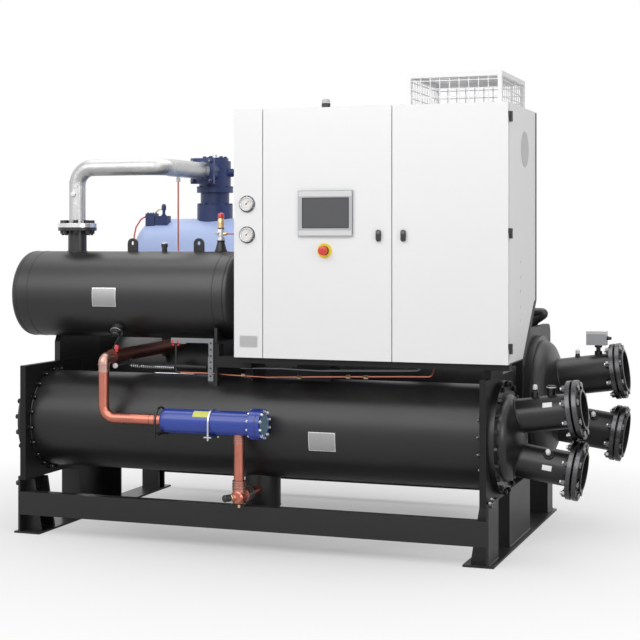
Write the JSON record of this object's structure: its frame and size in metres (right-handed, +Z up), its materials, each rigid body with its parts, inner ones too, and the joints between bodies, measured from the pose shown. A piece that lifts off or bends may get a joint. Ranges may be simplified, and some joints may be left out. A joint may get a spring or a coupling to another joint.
{
  "type": "water-cooled screw chiller",
  "caption": "Screw chiller on two steel feet: two tube-and-shell vessels, oil separator, screw compressor, filter drier, flanged water connections and a control cabinet with hinged doors.",
  "frame": {"origin": "centre of the whole machine's footprint box, on the floor", "axes": "+X along the shells towards the water connections, +Y from the cabinet side to the back, +Z up"},
  "size_m": [3.1526, 1.7206, 2.345],
  "materials": {
    "black_paint": "satin black paint",
    "black_lagging": "smooth black insulation skin",
    "flange_steel": "black paint with bare machined rims",
    "foil_pipe": "dull silver foil over insulation",
    "valve_blue": "dark blue paint",
    "compressor_blue": "light blue enamel",
    "copper": "brushed copper tube",
    "drier_blue": "bright blue powder coat",
    "cabinet_white": "white powder coat, fine texture",
    "zinc_steel": "zinc plated sheet",
    "valve_brass": "turned brass under a black body",
    "box_grey": "moulded grey plastic",
    "gauge": "steel rim, white dial",
    "screen": "grey bezel with dark glass",
    "yellow_plastic": "yellow plastic",
    "red_plastic": "red plastic",
    "black_plastic": "moulded black plastic"
  },
  "bodies": {
    "machine": {"angle_valve": "copper", "cabinet_back": "cabinet_white", "cabinet_bottom": "cabinet_white", "cabinet_centre_post": "cabinet_white", "cabinet_frame": "black_paint", "cabinet_hinges": "black_plastic", "cabinet_sides": "cabinet_white", "cabinet_slope": "cabinet_white", "cabinet_top": "cabinet_white", "cage": "cabinet_white", "cage_mesh": "cabinet_white", "compressor": "compressor_blue", "compressor_feet": "black_paint", "compressor_ports": "compressor_blue", "condenser_left_head": "black_paint", "condenser_loose_flanges": "flange_steel", "condenser_nozzles": "black_paint", "condenser_right_head": "black_paint", "condenser_shell": "black_paint", "condenser_sump": "black_paint", "condenser_tubesheets": "black_paint", "discharge_pipe": "foil_pipe", "discharge_valve": "valve_blue", "drier_clamps": "zinc_steel", "evaporator_left_head": "black_paint", "evaporator_loose_flanges": "flange_steel", "evaporator_nozzles": "black_paint", "evaporator_right_head": "black_paint", "evaporator_shell": "black_lagging", "evaporator_tubesheets": "black_paint", "filter_drier": "drier_blue", "flow_switch": "box_grey", "front_rail": "black_paint", "gauge_panel": "cabinet_white", "gauges": "gauge", "left_foot": "black_paint", "lifting_lugs": "black_paint", "liquid_drop": "copper", "liquid_line": "copper", "mounting_plate": "zinc_steel", "pipe_strut": "zinc_steel", "rear_rail": "black_paint", "right_foot": "black_paint", "safety_valve": "valve_brass", "separator_ends": "black_lagging", "separator_neck": "black_lagging", "separator_ports": "black_paint", "separator_saddles": "black_paint", "separator_shell": "black_lagging", "suction_line": "black_lagging"},
    "left_door": {"left_door": "cabinet_white", "touch_screen": "screen", "stop_collar": "yellow_plastic", "left_door_lock": "black_plastic"},
    "right_door": {"right_door": "cabinet_white", "right_door_lock": "black_plastic", "right_door_knuckles": "black_plastic"},
    "stop_button": {"stop_button": "red_plastic"}
  },
  "joints": [
    {"name": "left_door_hinge", "type": "hinge", "parent": "machine", "child": "left_door", "pos_m": [-0.04781, -0.73966, 1.572], "axis": [0, 0, -1], "range_deg": [0, 110]},
    {"name": "right_door_hinge", "type": "hinge", "parent": "machine", "child": "right_door", "pos_m": [1.19069, -0.71466, 1.572], "axis": [0, 0, 1], "range_deg": [0, 110]},
    {"name": "stop_button_push", "type": "slide", "parent": "left_door", "child": "stop_button", "axis": [0, 1, 0], "range_m": [0, 0.005]}
  ]
}
